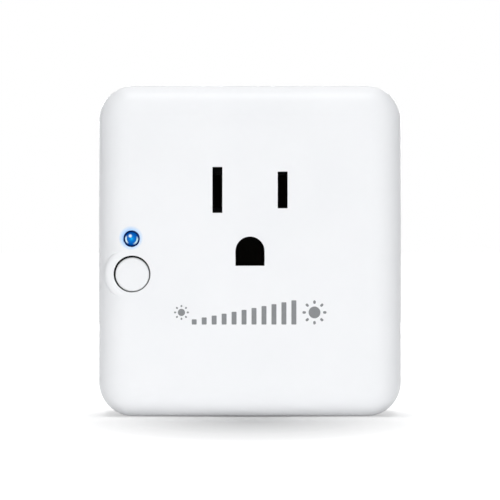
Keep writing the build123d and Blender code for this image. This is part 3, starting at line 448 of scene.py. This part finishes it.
def threaded_screw(place, seat, away, columns, head_radius, head_height, shank_radius, length, pitch):
    """One screw along Y as a grid of radius r and height h above its seat, against the turn t.

    The head's top is a dome, h = H (1 - fall (r / R)^2), less a cross of two bars with smooth
    edges, and a quarter circle rounds its rim. The shank's radius is less by the thread's depth
    times a triangle wave of h / pitch + t / 2 pi, and narrows to a blunt point at its end."""
    turn = np.arange(columns) * 2 * np.pi / columns
    top_r = head_radius * np.linspace(0, dome_reach, dome_rows)
    top_h = head_height * (1 - dome_fall * (top_r / head_radius) ** 2)
    rim = np.linspace(0, np.pi / 2, rim_rows + 1)[1:]
    corner = (1 - dome_reach) * head_radius
    rim_r = head_radius - corner + corner * np.sin(rim)
    rim_h = top_h[-1] - corner + corner * np.cos(rim)
    rows = int(rows_to_a_turn * length / pitch)
    shank_h = -np.linspace(0, length, rows)
    under_head = [head_radius, shank_radius]
    radii = np.concatenate([top_r, rim_r, under_head, np.full(rows, shank_radius), [0.0]])
    heights = np.concatenate([top_h, rim_h, [0.0, 0.0], shank_h, [-length]])
    r = np.repeat(radii[:, None], columns, 1)
    h = np.repeat(heights[:, None], columns, 1)
    row = np.arange(len(radii))[:, None]
    wave = np.abs(((h / pitch + turn / (2 * np.pi)) % 1) * 2 - 1)
    on_shank = (row >= dome_rows + rim_rows + 2) & (r > 0)
    taper = smooth_step((length + h) / (point_length * shank_radius))
    threaded_r = r - thread_depth * shank_radius * (1 - wave)
    r = np.where(on_shank, threaded_r * (point_width + (1 - point_width) * taper), r)
    x, z = r * np.cos(turn), r * np.sin(turn)
    edge = cross_edge * head_radius
    upright_bar, level_bar = [
        smooth_step((cross_half_width * head_radius - np.abs(across)) / edge + 0.5)
        * smooth_step((cross_half_length * head_radius - np.abs(along)) / edge + 0.5)
        for across, along in ((x, z), (z, x))
    ]
    recess = cross_depth * head_height * np.maximum(upright_bar, level_bar) * (row < dome_rows)
    level = seat + away * (h - recess)
    points = np.stack([place[0] + x, -level, place[1] + z], -1)
    return points if away > 0 else points[:, ::-1]


def round_pieces(name, sheets):
    """Closed pieces, each a grid of rows round an axis whose first and last rows are single points:
    squares join the rows, and a fan of triangles joins each end."""
    points, faces, start = [], [], 0
    for sheet in sheets:
        rows, columns = sheet.shape[:2]
        row, column = np.meshgrid(np.arange(rows - 3), np.arange(columns), indexing="ij")
        following = (column + 1) % columns
        near, far = start + 1 + row * columns, start + 1 + (row + 1) * columns
        quads = np.stack([near + column, far + column, far + following, near + following], -1)
        last = start + 1 + (rows - 2) * columns
        first_ring = start + 1 + np.arange(columns)
        last_ring = first_ring + (rows - 3) * columns
        first_fan = np.stack([np.full(columns, start), first_ring, np.roll(first_ring, -1)], 1)
        last_fan = np.stack([np.full(columns, last), np.roll(last_ring, -1), last_ring], 1)
        points += [sheet[0, :1], sheet[1:-1].reshape(-1, 3), sheet[-1, :1]]
        faces += quads.reshape(-1, 4).tolist() + first_fan.tolist() + last_fan.tolist()
        start = last + 1
    piece = closed_piece(name, np.concatenate(points), faces)
    piece.data.shade_smooth()
    piece.data.set_sharp_from_angle(angle=np.radians(35))
    return piece


def screw_places(node, head_radius):
    """The middles of a node's screws in X and Z. A screw has the points that lie within a little
    over its head's width of its first one, and its middle is that of the box round them."""
    mesh = nodes[node].data
    points = np.empty(3 * len(mesh.vertices), np.float32)
    mesh.vertices.foreach_get("co", points)
    left = points.reshape(-1, 3)[:, [0, 2]].astype(float)
    places, over_a_head = [], 2.1 * head_radius
    while len(left):
        own = np.linalg.norm(left - left[0], axis=1) < over_a_head
        places.append((left[own].min(axis=0) + left[own].max(axis=0)) / 2)
        left = left[~own]
    return places


def screws(name, node, away, columns, sizes):
    """Threaded screws that stand for a CAD node's plain ones, with their heads on the same seats.
    Away is 1 where the heads look towards the face, and -1 where they look towards the back."""
    low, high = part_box(node)
    head_top = -low.y if away > 0 else -high.y
    seat = head_top - away * sizes["head_height"]
    places = screw_places(node, sizes["head_radius"])
    sheets = [threaded_screw(place, seat, away, columns, **sizes) for place in places]
    made = round_pieces(name, sheets)
    made.data.materials.append(zinc)
    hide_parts(node)
    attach(made, "housing")


case_sizes = dict(
    head_radius=0.0025, head_height=0.0017, shank_radius=0.00145, length=0.0165, pitch=0.0011
)
small_sizes = dict(
    head_radius=0.0019, head_height=0.0011, shank_radius=0.0010, length=0.0044, pitch=0.0008
)
screws("case_screws_threaded", "case_screws", away=-1, columns=64, sizes=case_sizes)
for name, node, away in (
    ("retainer_screws_threaded", "retainer_screws", 1),
    ("carrier_screws_threaded", "carrier_screws", -1),
    ("carrier_back_screws_threaded", "carrier_back_screws", -1),
    ("control_screws_threaded", "control_board_screws", -1),
    ("board_screws_threaded", "board_screws", 1),
):
    screws(name, node, away, columns=32, sizes=small_sizes)

# Blades and ground pin
# Solid brass: the blades are stamped from strip, with the rolling lines running to their tips, and
# the pin is turned, so that its lines run round it. A retainer plate holds all three down.
bright_brass, tarnished_brass = (0.78, 0.58, 0.29), (0.66, 0.47, 0.22)
blade_brass = finish("stamped_brass", roughness=0.27, metallic=1.0)
rolling = mottle(blade_brass, scale=2600, stretch=(1, 0.02, 1))
feed(blade_brass, clouded(blade_brass, bright_brass, tarnished_brass, scale=160), "Base Color")
feed(blade_brass, between(blade_brass, rolling, low=0.2, high=0.36), "Roughness")
relief(blade_brass, rolling, depth=2.5e-6)
dress(blade_brass, "neutral_blade", "line_blade")
turned_brass = finish("turned_brass", roughness=0.24, metallic=1.0)
turning = mottle(turned_brass, scale=9000, stretch=(0.01, 1, 0.01))
feed(turned_brass, clouded(turned_brass, bright_brass, tarnished_brass, scale=160), "Base Color")
feed(turned_brass, between(turned_brass, turning, low=0.18, high=0.34), "Roughness")
relief(turned_brass, turning, depth=0.4e-6)
dress(turned_brass, "ground_pin")

# Retainer, contact carrier and its back
# Black glass-filled polyamide, dull, with a faint grey swirl where the filled melt flowed. The
# header's body is moulded in the same stock.
black_swirl, grey_swirl = (0.010, 0.010, 0.011), (0.020, 0.020, 0.022)
black_nylon = finish("black_filled_nylon", roughness=0.55)
swirl = clouded(black_nylon, black_swirl, grey_swirl, scale=260, stretch=(1, 0.4, 1))
feed(black_nylon, swirl, "Base Color")
nylon_gloss = mottle(black_nylon, scale=900)
feed(black_nylon, between(black_nylon, nylon_gloss, low=0.48, high=0.64), "Roughness")
relief(black_nylon, mottle(black_nylon, scale=3000), depth=3e-6)
dress(black_nylon, "blade_retainer", "contact_carrier", "carrier_back", "header_body")

# Spring contacts
# Phosphor bronze strip, folded and formed, and painted nearly black as the shade that fills the
# slots.
# Each sits in its pocket of the carrier behind the slots.
shade_brown_bronze, shade_black_bronze = (0.012, 0.009, 0.006), (0.006, 0.005, 0.004)
bronze = finish("bronze_painted_as_slot_shade", roughness=0.45, metallic=0.8)
strip_lines = mottle(bronze, scale=2400, stretch=(1, 0.03, 1))
# The nearly black colour is painted shade for the slots in front of the contacts.
feed(bronze, clouded(bronze, shade_brown_bronze, shade_black_bronze, scale=220), "Base Color")
feed(bronze, between(bronze, strip_lines, low=0.45, high=0.6), "Roughness")
relief(bronze, strip_lines, depth=2e-6)
dress(bronze, "neutral_contact", "line_contact", "ground_contact")

# Circuit boards
# Glass-epoxy laminate under green solder mask. Copper areas show lighter through the mask, parted
# by narrow bare lines that lie a little lower.
board_laminate = finish("green_masked_board", roughness=0.36, coat=0.25)
copper_areas = board_laminate.node_tree.nodes.new("ShaderNodeTexBrick")
copper_pattern = {
    "Color1": (0.012, 0.105, 0.045, 1),
    "Color2": (0.018, 0.135, 0.060, 1),
    "Mortar": (0.006, 0.050, 0.022, 1),
    "Scale": 1.0,
    "Mortar Size": 0.00022,
    "Mortar Smooth": 0.3,
    "Brick Width": 0.0074,
    "Row Height": 0.0043,
}
for socket, value in copper_pattern.items():
    copper_areas.inputs[socket].default_value = value
across_board = own_place(board_laminate, turn=(np.pi / 2, 0, 0))
board_laminate.node_tree.links.new(across_board, copper_areas.inputs["Vector"])
feed(board_laminate, copper_areas.outputs["Color"], "Base Color")
relief(board_laminate, copper_areas.outputs["Fac"], depth=-12e-6)
dress(board_laminate, "power_board", "control_board")

# Push switch
# A black moulded body that is soldered to the control board, and the plunger in it, which the
# button's cap pushes.
black_switch, grey_switch = (0.013, 0.013, 0.014), (0.022, 0.022, 0.023)
switch_plastic = finish("black_switch_plastic", roughness=0.4)
feed(switch_plastic, clouded(switch_plastic, black_switch, grey_switch, scale=700), "Base Color")
relief(switch_plastic, mottle(switch_plastic, scale=4000), depth=2e-6)
dress(switch_plastic, "switch_body", "switch_plunger")

# Shield, pins, tab and end caps
# Tinplate and tinned metal: the radio's can is folded from sheet, and the header's pins, the
# triac's tab and the fuse's pressed caps have the same tin on them.
bright_tinplate, dull_tinplate = (0.63, 0.64, 0.65), (0.52, 0.53, 0.55)
tinplate = finish("tinplate", roughness=0.3, metallic=1.0)
sheet_lines = mottle(tinplate, scale=1800, stretch=(1, 1, 0.1))
feed(tinplate, clouded(tinplate, bright_tinplate, dull_tinplate, scale=500), "Base Color")
feed(tinplate, between(tinplate, sheet_lines, low=0.22, high=0.42), "Roughness")
dress(tinplate, "radio_shield", "header_pins", "triac_tab", "fuse_caps")

# Moulded chips
# Radio, controller, bridge rectifier and triac are moulded in black epoxy, matt and a little grey,
# and soldered to their boards.
chip_black, chip_grey = (0.016, 0.016, 0.017), (0.034, 0.034, 0.036)
black_epoxy = finish("black_moulding_epoxy", roughness=0.6)
feed(black_epoxy, clouded(black_epoxy, chip_black, chip_grey, scale=1200), "Base Color")
relief(black_epoxy, mottle(black_epoxy, scale=5000), depth=4e-6)
dress(black_epoxy, "radio_chip", "controller_chip", "bridge_rectifier", "triac_body")

# Fuse
# A sand-filled tube of cream ceramic with a thin glaze. A pressed cap closes each end, and its
# leads are soldered into the power board.
cream, deep_cream = (0.74, 0.71, 0.62), (0.66, 0.62, 0.53)
ceramic = finish("glazed_fuse_ceramic", roughness=0.3, coat=0.3)
feed(ceramic, clouded(ceramic, cream, deep_cream, scale=600), "Base Color")
relief(ceramic, mottle(ceramic, scale=1500), depth=3e-6)
dress(ceramic, "fuse_body")

# Varistor
# A sintered disc dipped in blue epoxy powder, which melts to an orange-peel skin. It stands on
# its two leads.
deep_blue, pale_blue = (0.020, 0.075, 0.30), (0.028, 0.100, 0.36)
blue_dip = finish("blue_dip_epoxy", roughness=0.35)
feed(blue_dip, clouded(blue_dip, deep_blue, pale_blue, scale=500), "Base Color")
relief(blue_dip, mottle(blue_dip, scale=1300), depth=14e-6)
dress(blue_dip, "varistor")

# Film capacitor
# A moulded box in yellow plastic, glossy with slight sink in its sides. It is potted from below
# round its two leads.
yellow, deep_yellow = (0.80, 0.50, 0.055), (0.72, 0.44, 0.045)
yellow_box = finish("yellow_box_plastic", roughness=0.28)
feed(yellow_box, clouded(yellow_box, yellow, deep_yellow, scale=300), "Base Color")
relief(yellow_box, mottle(yellow_box, scale=180), depth=10e-6)
dress(yellow_box, "film_capacitor")

# Electrolytic capacitor
# An aluminium can in a shrunk black sleeve, with a pale stripe down its negative side. Its two
# leads are soldered into the power board.
sleeve_black, stripe_grey = (0.012, 0.013, 0.018), (0.46, 0.47, 0.48)
stripe_start, stripe_end = 0.0033, 0.0034
sleeve = finish("black_shrunk_sleeve", roughness=0.33)
across_can = sleeve.node_tree.nodes.new("ShaderNodeSeparateXYZ")
can_place = middle_axis("electrolytic_capacitor")
sleeve.node_tree.links.new(own_place(sleeve, centre=can_place), across_can.inputs[0])
stripe = between(sleeve, across_can.outputs["X"], 0, 1, stripe_start, stripe_end)
feed(sleeve, blended(sleeve, stripe, sleeve_black, stripe_grey), "Base Color")
relief(sleeve, mottle(sleeve, scale=500), depth=6e-6)
dress(sleeve, "electrolytic_capacitor")

# Ring choke
# Seventeen turns of enamelled copper wound by hand round a pressed powder ring, close together on
# the bore and fanned out on the rim. Each turn is a squarish loop round the ring's section.
wire_radius, wire_clearance = 0.0004, 0.00005
turn_count, steps_to_a_turn, wire_sides = 17, 44, 8
loop_power = 6
unwound_angle = 0.62
core_bore = 0.0034
choke_low, choke_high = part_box("choke_winding")
core_low, core_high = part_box("choke_core")
choke_place = middle_axis("choke_core")
rim_radius = (core_high.x - core_low.x) / 2 + wire_clearance + wire_radius
bore_radius = core_bore - wire_clearance - wire_radius


def wound_path(turns, steps):
    """A helix round a ring. While the place round the ring runs from one side of the gap to the
    other, the wire runs round a squarish loop in the ring's section, where across^p + along^p = 1
    with the loop's power p."""
    t = np.linspace(0, 1, turns * steps + 1)
    around = unwound_angle / 2 + t * (2 * np.pi - unwound_angle)
    loop = 2 * np.pi * turns * t - np.pi / 2
    across = np.sign(np.cos(loop)) * np.abs(np.cos(loop)) ** (2 / loop_power)
    along = np.sign(np.sin(loop)) * np.abs(np.sin(loop)) ** (2 / loop_power)
    radius = (rim_radius + bore_radius) / 2 + across * (rim_radius - bore_radius) / 2
    half_height = (choke_high.y - choke_low.y) / 2 - wire_radius
    level = (choke_low.y + choke_high.y) / 2 - along * half_height
    x = choke_place[0] + radius * np.cos(around)
    z = choke_place[2] + radius * np.sin(around)
    return np.stack([x, level, z], 1)


def swept_tube(name, path, radius, sides):
    """A round tube along a path: ring = point + radius (cos v side + sin v up), where side and up
    are square to the path's direction, and its two ends are closed by a polygon each."""
    direction = np.gradient(path, axis=0)
    direction /= np.linalg.norm(direction, axis=1, keepdims=True)
    outwards = path - path.mean(0)
    side = np.cross(direction, outwards)
    side /= np.linalg.norm(side, axis=1, keepdims=True)
    up = np.cross(direction, side)
    v = np.arange(sides)[None, :, None] * 2 * np.pi / sides
    rings = path[:, None] + radius * (np.cos(v) * side[:, None] + np.sin(v) * up[:, None])
    count = len(path)
    row, column = np.meshgrid(np.arange(count - 1), np.arange(sides), indexing="ij")
    following = (column + 1) % sides
    near, far = row * sides, (row + 1) * sides
    quads = np.stack([near + column, near + following, far + following, far + column], -1)
    quads = quads.reshape(-1, 4).tolist()
    first = np.arange(sides)[::-1].tolist()
    last = ((count - 1) * sides + np.arange(sides)).tolist()
    tube = closed_piece(name, rings.reshape(-1, 3), [*quads, first, last])
    smooth = np.arange(len(tube.data.polygons)) < len(quads)
    tube.data.polygons.foreach_set("use_smooth", smooth)
    return tube


winding_path = wound_path(turn_count, steps_to_a_turn)
choke_turns = swept_tube("choke_turns", winding_path, wire_radius, wire_sides)
bright_enamel, deep_enamel = (0.62, 0.23, 0.085), (0.48, 0.16, 0.055)
enamel = finish("glossy_enamelled_copper", roughness=0.25, metallic=0.85, coat=0.6)
feed(enamel, clouded(enamel, bright_enamel, deep_enamel, scale=500), "Base Color")
choke_turns.data.materials.append(enamel)
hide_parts("choke_winding")
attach(choke_turns, "housing")
deep_green, pale_green = (0.045, 0.11, 0.06), (0.065, 0.15, 0.085)
powder_iron = finish("painted_powder_iron", roughness=0.5)
feed(powder_iron, clouded(powder_iron, deep_green, pale_green, scale=1600), "Base Color")
relief(powder_iron, mottle(powder_iron, scale=2600), depth=8e-6)
dress(powder_iron, "choke_core")

# Supply transformer
# A core of grey sintered ferrite, glued together round a coil that is wrapped in amber polyester
# tape, whose laps lie beside each other.
dark_ferrite, pale_ferrite = (0.045, 0.046, 0.050), (0.075, 0.076, 0.082)
ferrite = finish("sintered_ferrite", roughness=0.5, metallic=0.2)
feed(ferrite, clouded(ferrite, dark_ferrite, pale_ferrite, scale=1100), "Base Color")
relief(ferrite, mottle(ferrite, scale=3800), depth=5e-6)
dress(ferrite, "transformer_core")
pale_amber, deep_amber = (0.66, 0.40, 0.035), (0.58, 0.33, 0.025)
coil_tape = finish("amber_coil_tape", roughness=0.22, coat=0.4)
tape_laps = coil_tape.node_tree.nodes.new("ShaderNodeTexWave")
tape_laps.bands_direction = "Y"
tape_laps.inputs["Scale"].default_value = 130
tape_laps.inputs["Distortion"].default_value = 0.4
coil_tape.node_tree.links.new(own_place(coil_tape), tape_laps.inputs["Vector"])
feed(coil_tape, blended(coil_tape, tape_laps.outputs["Fac"], pale_amber, deep_amber), "Base Color")
relief(coil_tape, tape_laps.outputs["Fac"], depth=8e-6)
dress(coil_tape, "transformer_coil")

# Heatsink
# Extruded aluminium, cut to length and left bare, with the die's lines along its fins. The triac
# is screwed to it.
bright_aluminium, dull_aluminium = (0.70, 0.71, 0.72), (0.62, 0.63, 0.65)
extrusion = finish("extruded_aluminium", roughness=0.34, metallic=1.0)
die_lines = mottle(extrusion, scale=2600, stretch=(1, 0.02, 1))
feed(extrusion, clouded(extrusion, bright_aluminium, dull_aluminium, scale=120), "Base Color")
feed(extrusion, between(extrusion, die_lines, low=0.26, high=0.46), "Roughness")
relief(extrusion, die_lines, depth=4e-6)
dress(extrusion, "heatsink")

# Studio
# A floor of white paper that keeps the lamps' soft shadow, with a painted shadow round the part and
# mostly in front of it, and turns to plain white further off, in a white surround. A wide strip
# lights the face, one softbox hangs overhead, and two stand behind.
paper_gap = 0.00002
floor_level = cad_low.z - paper_gap
floor_reach = 40.0
floor_corners = floor_reach * np.array([[-1, -1], [1, -1], [1, 1], [-1, 1]])
floor_mesh = bpy.data.meshes.new("floor")
floor_mesh.from_pydata([(x, y, floor_level) for x, y in floor_corners.tolist()], [], [(0, 1, 2, 3)])
floor = bpy.data.objects.new("floor", floor_mesh)
bpy.context.scene.collection.objects.link(floor)

# The camera sees grey paper that takes the lamps' shadow and has a white glow of its own. The glow is
# low in an oval round the part, a painted shadow mostly in front of it, and grows outwards to plain
# white.
# Light that bounces meets plain white paper.
shade_middle, shade_half_width, shade_half_depth = (0.0, -0.045, 0.0), 0.032, 0.09
paper = finish("white_paper", roughness=0.9, specular=0.0)
reach = distance(paper, shade_middle, stretch=(1 / shade_half_width, 1 / shade_half_depth, 0))
# The low glow near the part paints its shadow on the paper.
painted_shadow_ramp = between(paper, reach, low=0.05, high=0.57, start=0.05, end=1.08)
far_white = between(paper, reach, low=0.0, high=0.36, start=0.96, end=1.5)
paper_glow_with_painted_shadow = combined(paper, "ADD", painted_shadow_ramp, far_white)


def ray_kinds(material):
    """Two values: 1 for rays from the camera alone, and 1 for these and for reflected and
    refracted ones. Both are 0 for rays that only gather light."""
    rays = material.node_tree.nodes.new("ShaderNodeLightPath")
    camera_ray = rays.outputs["Is Camera Ray"]
    seen_ray = camera_ray
    for kind in ("Is Glossy Ray", "Is Transmission Ray"):
        seen_ray = combined(material, "MAXIMUM", seen_ray, rays.outputs[kind])
    return camera_ray, seen_ray


paper_camera_ray, paper_seen_ray = ray_kinds(paper)
white_fibre, dull_fibre, seen_grey = (0.90, 0.90, 0.90), (0.88, 0.88, 0.88), (0.62, 0.62, 0.62)
white_paper = clouded(paper, white_fibre, dull_fibre, scale=900)
feed(paper, blended(paper, paper_camera_ray, white_paper, seen_grey), "Base Color")
feed(paper, combined(paper, "MULTIPLY", paper_seen_ray, paper_glow_with_painted_shadow), "Emission Strength")
paper.node_tree.nodes["Principled BSDF"].inputs["Emission Color"].default_value = (1, 1, 1, 1)
floor_mesh.materials.append(paper)

ambient_level, ambient_tint = 0.18, (0.93, 0.96, 1.0)
seen_level, seen_white = 1.0, (1.0, 1.0, 1.0)
surround = bpy.data.worlds.new("surround")
bpy.context.scene.world = surround
surround.use_nodes = True
sky = surround.node_tree.nodes["Background"]
sky_seen_ray = ray_kinds(surround)[1]
sky_colour = blended(surround, sky_seen_ray, ambient_tint, seen_white)
sky_level = between(surround, sky_seen_ray, ambient_level, seen_level, start=0, end=1)
surround.node_tree.links.new(sky_colour, sky.inputs["Color"])
surround.node_tree.links.new(sky_level, sky.inputs["Strength"])


def softbox(name, place, width, height, power):
    """An area lamp at place that faces the origin, its power in watts."""
    light = bpy.data.lights.new(name, "AREA")
    light.shape = "RECTANGLE"
    light.size, light.size_y = width, height
    light.energy = power
    lamp = bpy.data.objects.new(name, light)
    bpy.context.scene.collection.objects.link(lamp)
    lamp.location = place
    lamp.rotation_euler = (-lamp.location).to_track_quat("-Z", "Y").to_euler()
    return lamp


front_strip = softbox("front_strip", (0.0, -1.0, 0.02), width=0.9, height=0.08, power=6.3)
front_strip.visible_glossy = False
softbox("top_softbox", (0.0, -0.1, 0.9), width=0.6, height=0.4, power=3.8)
softbox("high_back_softbox", (0.0, 0.45, 0.75), width=0.7, height=0.5, power=1.5)
softbox("low_back_softbox", (0.0, 1.0, 0.14), width=0.8, height=0.2, power=4.0)

camera_distance, camera_height, seen_width = 0.8, 0.0002, 0.0973
sensor_millimetres = 36.0
camera_data = bpy.data.cameras.new("camera")
camera_data.sensor_width = sensor_millimetres
camera_data.lens = sensor_millimetres * camera_distance / seen_width
camera_data.clip_end = 100.0
camera = bpy.data.objects.new("camera", camera_data)
bpy.context.scene.collection.objects.link(camera)
camera.location = (0.0, cad_low.y - camera_distance, camera_height)
camera.rotation_euler = (np.pi / 2, 0, 0)
bpy.context.scene.camera = camera
bpy.context.scene.view_settings.view_transform = "Standard"
